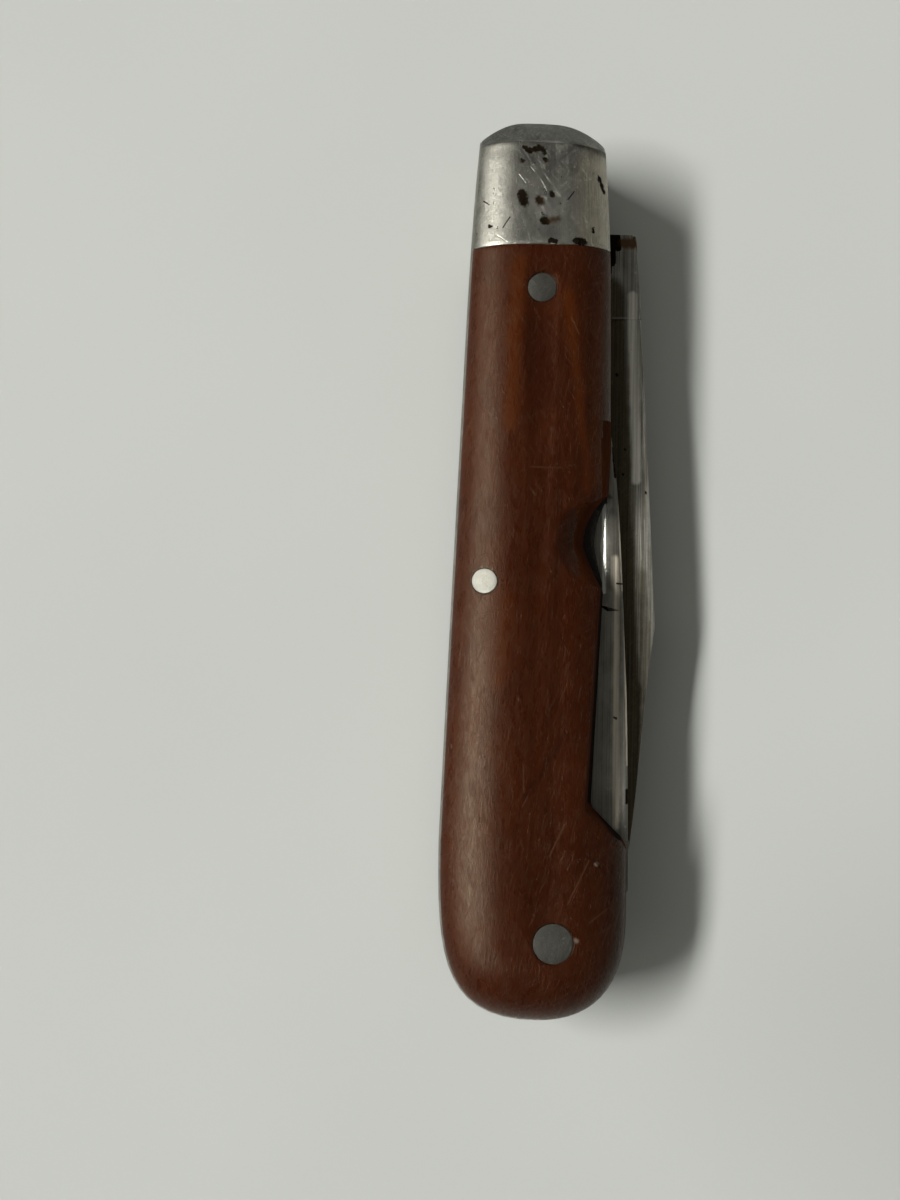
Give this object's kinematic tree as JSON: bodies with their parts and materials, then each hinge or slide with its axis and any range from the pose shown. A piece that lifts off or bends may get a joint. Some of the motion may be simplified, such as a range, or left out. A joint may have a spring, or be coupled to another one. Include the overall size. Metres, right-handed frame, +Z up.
{
  "type": "folding pocket knife",
  "caption": "Folding pocket knife with red-brown fibre scales, a steel bolster, a thumb scoop, and a main and a small blade that fold out from opposite ends.",
  "frame": {"origin": "on the far scale's flat, on the handle's centreline and halfway along its length", "axes": "+Y along the handle from the butt to the bolster, +X to the side that the blades open on, +Z up from the far scale to the near scale"},
  "size_m": [0.0244, 0.1002, 0.0122],
  "materials": {
    "fibre_scale": "worn red-brown pressed fibre with fine scratches and a soft polish",
    "bolster_steel": "worn satin steel with scratches, dark pits and rust specks",
    "liner_steel": "dull ground steel sheet",
    "spring_steel": "ground spring steel with light brown staining",
    "blade_steel": "lengthwise ground and worn blade steel with dark specks and stains",
    "rivet_steel": "peened and filed steel rivet, dull grey"
  },
  "bodies": {
    "handle": {"near_scale": "fibre_scale", "far_scale": "fibre_scale", "near_bolster": "bolster_steel", "far_bolster": "bolster_steel", "bolster_pivot_pin": "bolster_steel", "near_liner": "liner_steel", "centre_liner": "liner_steel", "far_liner": "liner_steel", "main_spring": "spring_steel", "small_spring": "spring_steel", "butt_pivot_pin": "rivet_steel", "spring_pin": "rivet_steel", "near_scale_rivet": "rivet_steel", "far_scale_rivet": "rivet_steel"},
    "main_blade": {"main_blade": "blade_steel"},
    "small_blade": {"small_blade": "blade_steel"}
  },
  "joints": [
    {"name": "main_blade_hinge", "type": "hinge", "parent": "handle", "child": "main_blade", "pos_m": [0.00195, 0.0433, 0.00515], "axis": [0, 0, 1], "range_deg": [0, 180], "deforming": ["main_spring"]},
    {"name": "small_blade_hinge", "type": "hinge", "parent": "handle", "child": "small_blade", "pos_m": [0.00207, -0.0405, 0.00755], "axis": [0, 0, -1], "range_deg": [0, 180], "deforming": ["small_spring"]}
  ]
}
